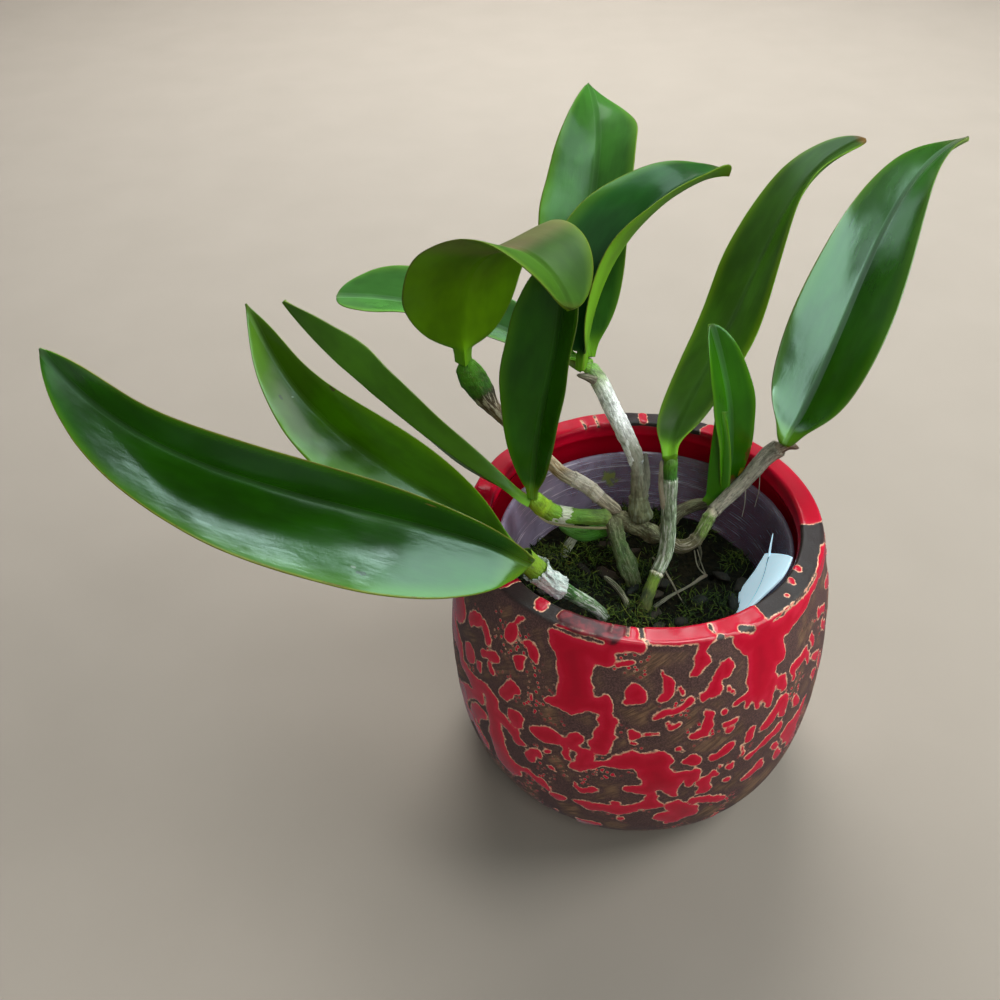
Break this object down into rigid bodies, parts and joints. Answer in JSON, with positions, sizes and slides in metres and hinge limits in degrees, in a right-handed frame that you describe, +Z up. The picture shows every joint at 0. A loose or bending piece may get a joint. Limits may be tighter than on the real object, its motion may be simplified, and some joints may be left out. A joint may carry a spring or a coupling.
{
  "type": "potted orchid",
  "caption": "Leafy orchid with long folded leaves on slender canes, growing in a clear inner pot set into a round-bellied glazed pot with a thick flat rim.",
  "frame": {"origin": "centre of the glazed pot's foot, on the surface it stands on", "axes": "+Z up along the pot's axis; -Y towards the side the plant is usually seen from; +X to the viewer's right"},
  "size_m": [0.2893, 0.2046, 0.189],
  "materials": {
    "cachepot_glaze": "crimson glaze in islands over charcoal brown clay",
    "clear_plastic": "clear, slightly cloudy",
    "mix": "rough bark chips with moss",
    "label_card": "plain matt",
    "brown_stem": "rough",
    "green_stem": "smooth",
    "white_sheath": "papery, fibrous",
    "grey_sheath": "papery, fibrous",
    "tan_sheath": "papery",
    "root": "matt",
    "leaf_green": "smooth satin",
    "leaf_dark": "smooth satin",
    "leaf_light": "smooth satin",
    "leaf_blue": "smooth satin",
    "leaf_young": "smooth gloss"
  },
  "bodies": {
    "root": {"cachepot": "cachepot_glaze", "grower_pot": "clear_plastic", "potting_mix": "mix", "plant_label": "label_card", "rhizome": "brown_stem", "growing_bud": "green_stem", "root_tip": "root", "root_thin": "root", "root_flat": "root", "cane_front_left": "grey_sheath", "cane_green_shoot": "green_stem", "cane_back_left": "tan_sheath", "cane_white": "white_sheath", "cane_upright": "white_sheath", "cane_right": "grey_sheath", "leaf_long_left": "leaf_green", "leaf_second_left": "leaf_green", "leaf_narrow_left": "leaf_green", "leaf_dark_upright": "leaf_dark", "leaf_curled_front": "leaf_green", "leaf_back_left": "leaf_light", "leaf_top": "leaf_light", "leaf_arching": "leaf_blue", "leaf_tall_right": "leaf_green", "leaf_young": "leaf_young", "leaf_young_sheath": "leaf_young", "leaf_far_right": "leaf_green"}
  },
  "joints": []
}
